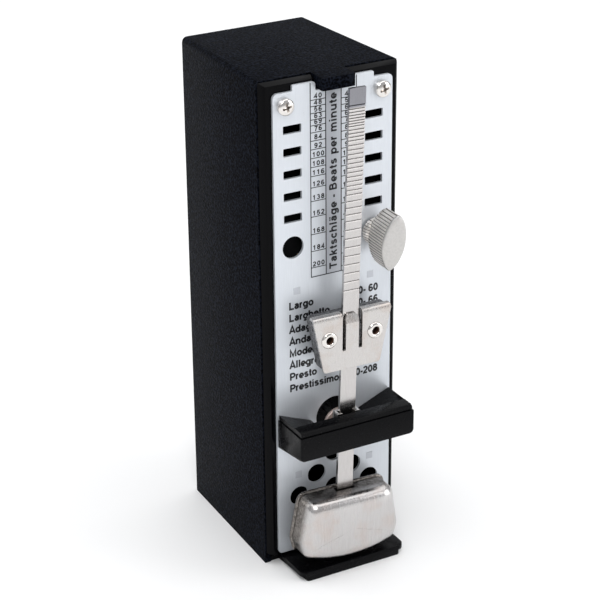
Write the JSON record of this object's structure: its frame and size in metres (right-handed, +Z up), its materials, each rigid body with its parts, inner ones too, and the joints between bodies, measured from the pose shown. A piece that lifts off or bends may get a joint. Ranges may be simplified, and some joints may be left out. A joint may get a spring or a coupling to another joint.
{
  "type": "metronome",
  "caption": "Tall narrow wind-up metronome, cover off: notched pendulum rod with sliding weight and bob before a scale plate, winding key, crossbar and tray.",
  "frame": {"origin": "bottom centre of the whole object's box, on the surface it stands on", "axes": "+Z up the case, +X to the right seen from the front, -Y towards the viewer (the scale plate faces -Y)"},
  "size_m": [0.0442, 0.0676, 0.15],
  "materials": {
    "case_black": "near-black moulded leather grain",
    "frame_black": "glossy black",
    "bar_black": "satin black",
    "scale_aluminium": "brushed, printed scale",
    "nickel": "nickel-plated, smooth",
    "steel": "plain steel",
    "brass": "cut brass",
    "plate_black": "blackened steel",
    "weight_grey": "plain cast"
  },
  "bodies": {
    "case": {"case_shell": "case_black", "front_frame": "frame_black", "scale_plate": "scale_aluminium", "crossbar": "bar_black", "base_tray": "frame_black", "plate_screw_left": "steel", "plate_screw_right": "steel", "base_screw_left": "steel", "base_screw_right": "steel", "movement_screw_lower_left": "steel", "movement_screw_lower_right": "steel", "movement_screw_upper_left": "steel", "movement_screw_upper_right": "steel", "pillar_screw_lower_left": "steel", "pillar_screw_lower_right": "steel", "pillar_screw_upper_left": "steel", "pillar_screw_upper_right": "steel", "movement_front_plate": "plate_black", "movement_rear_plate": "plate_black", "pillar_lower_left": "steel", "pillar_lower_right": "steel", "pillar_upper_left": "steel", "pillar_upper_right": "steel", "pendulum_front_bush": "plate_black", "pendulum_rear_bush": "brass", "barrel_front_bush": "brass", "barrel_rear_bush": "brass", "click_screw": "steel", "escape_bracket": "plate_black", "bracket_screw_lower": "steel", "bracket_screw_upper": "steel"},
    "pendulum": {"pendulum_arbor": "steel", "front_pallet": "steel", "rear_pallet": "steel", "pendulum_hub": "steel", "rod_clip": "steel", "pendulum_rod": "nickel", "rod_rivet": "steel", "bob_shell": "nickel", "bob_weight": "weight_grey"},
    "slider": {"slider_plate": "nickel", "slider_weight": "weight_grey", "slider_eyelet_left": "nickel", "slider_eyelet_right": "nickel"},
    "winding": {"winding_arbor": "steel", "winding_pinion": "steel"},
    "key": {"winding_key": "nickel"},
    "barrel_arbor_group": {"barrel_arbor": "steel", "winding_wheel": "brass", "ratchet_wheel": "steel"},
    "barrel": {"great_wheel": "brass", "barrel_drum": "brass", "mainspring": "steel"},
    "centre": {"centre_arbor": "steel", "centre_pinion": "steel", "contrate_wheel": "brass"},
    "escape": {"escape_arbor": "steel", "escape_pinion": "steel", "escape_wheel": "brass"},
    "click_group": {"click": "steel"}
  },
  "joints": [
    {"name": "pendulum_swing", "type": "hinge", "parent": "case", "child": "pendulum", "pos_m": [0, 0, 0.0458], "axis": [0, 1, 0], "range_deg": [-24, 3.5]},
    {"name": "slider_travel", "type": "slide", "parent": "pendulum", "child": "slider", "axis": [0.0332, 0, 0.9995], "range_m": [-0.01, 0.009]},
    {"name": "winding_turn", "type": "hinge", "parent": "case", "child": "winding", "pos_m": [0.0129, 0, 0.1013], "axis": [0, 1, 0], "continuous": true},
    {"name": "key_pull", "type": "slide", "parent": "winding", "child": "key", "axis": [0, -1, 0], "range_m": [0, 0.016]},
    {"name": "barrel_arbor_turn", "type": "hinge", "parent": "case", "child": "barrel_arbor_group", "pos_m": [0, 0, 0.0869], "axis": [0, 1, 0], "continuous": true},
    {"name": "barrel_turn", "type": "hinge", "parent": "case", "child": "barrel", "pos_m": [0, 0, 0.0869], "axis": [0, 1, 0], "continuous": true},
    {"name": "centre_turn", "type": "hinge", "parent": "case", "child": "centre", "pos_m": [0, 0, 0.0674], "axis": [0, 1, 0], "continuous": true},
    {"name": "escape_turn", "type": "hinge", "parent": "case", "child": "escape", "pos_m": [0, -0.0015, 0.05], "axis": [0, 0, 1], "continuous": true},
    {"name": "click_turn", "type": "hinge", "parent": "case", "child": "click_group", "pos_m": [0.0092, 0, 0.0909], "axis": [0, 1, 0], "range_deg": [-12, 0], "stiffness_Nm_per_rad": 0.0002, "springref_deg": 5.73}
  ],
  "couplings": [
    {"joint": "barrel_arbor_turn", "follows": "winding_turn", "ratio": -0.33333},
    {"joint": "centre_turn", "follows": "barrel_turn", "ratio": -6},
    {"joint": "escape_turn", "follows": "barrel_turn", "ratio": 24}
  ]
}
